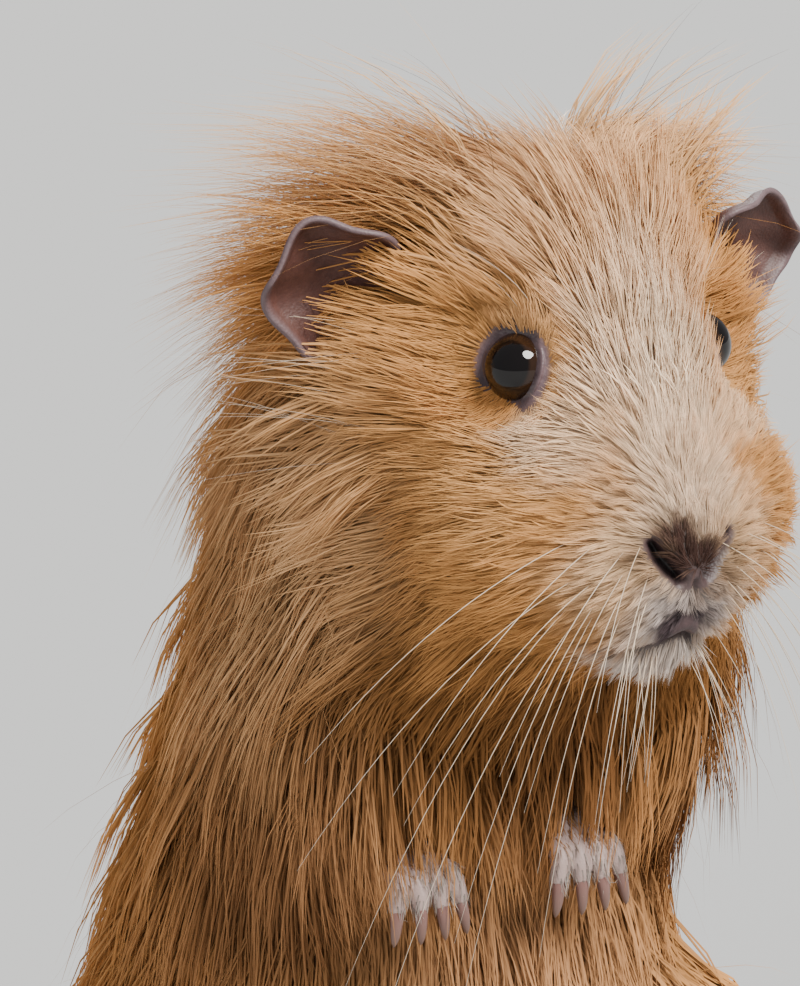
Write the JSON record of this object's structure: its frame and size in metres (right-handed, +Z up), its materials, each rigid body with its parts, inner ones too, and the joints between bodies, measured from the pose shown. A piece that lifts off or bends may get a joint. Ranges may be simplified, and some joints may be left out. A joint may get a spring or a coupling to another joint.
{
  "type": "guinea pig",
  "caption": "Still, life-size model of a long-haired golden guinea pig that sits up on its haunches, forepaws raised before its chest and head turned down a little",
  "frame": {"origin": "middle of the bounding box's base, on the floor under the sitting animal", "axes": "+Z up, the animal faces -Y, its right side is -X"},
  "size_m": [0.1122, 0.1292, 0.1951],
  "materials": {
    "skin": "pale skin under a tufted golden coat, cream on the bridge and grey-white round the mouth",
    "crest_coat": "long soft ginger hair with a faint sheen, parted along the crown",
    "nose_leather": "dark brown-purple nose leather, finely pebbled and slightly moist",
    "bare_skin": "thin purple-grey eyelid skin, slightly moist at the edge",
    "ear_skin": "thin bare ear skin, maroon-brown inside with a lilac-grey rim",
    "eye": "wet, clear, near-black eye",
    "claw": "semi-gloss pinkish-brown horn"
  },
  "bodies": {
    "root": {"belly": "skin", "chest": "skin", "claw_forepaw_left_1": "claw", "claw_forepaw_left_2": "claw", "claw_forepaw_left_3": "claw", "claw_forepaw_left_4": "claw", "claw_forepaw_right_1": "claw", "claw_forepaw_right_2": "claw", "claw_forepaw_right_3": "claw", "claw_forepaw_right_4": "claw", "claw_hind_foot_left_1": "claw", "claw_hind_foot_left_2": "claw", "claw_hind_foot_left_3": "claw", "claw_hind_foot_right_1": "claw", "claw_hind_foot_right_2": "claw", "claw_hind_foot_right_3": "claw", "crest_left": "crest_coat", "crest_right": "crest_coat", "ear_left": "ear_skin", "ear_right": "ear_skin", "eye_left": "eye", "eye_right": "eye", "eyelid_left": "bare_skin", "eyelid_right": "bare_skin", "forearm_left": "skin", "forearm_right": "skin", "forepaw_left": "skin", "forepaw_right": "skin", "head": "skin", "hind_foot_left": "skin", "hind_foot_right": "skin", "lower_jaw": "skin", "muzzle": "skin", "neck": "skin", "nose": "nose_leather", "rump": "skin", "thigh_left": "skin", "thigh_right": "skin"}
  },
  "joints": []
}
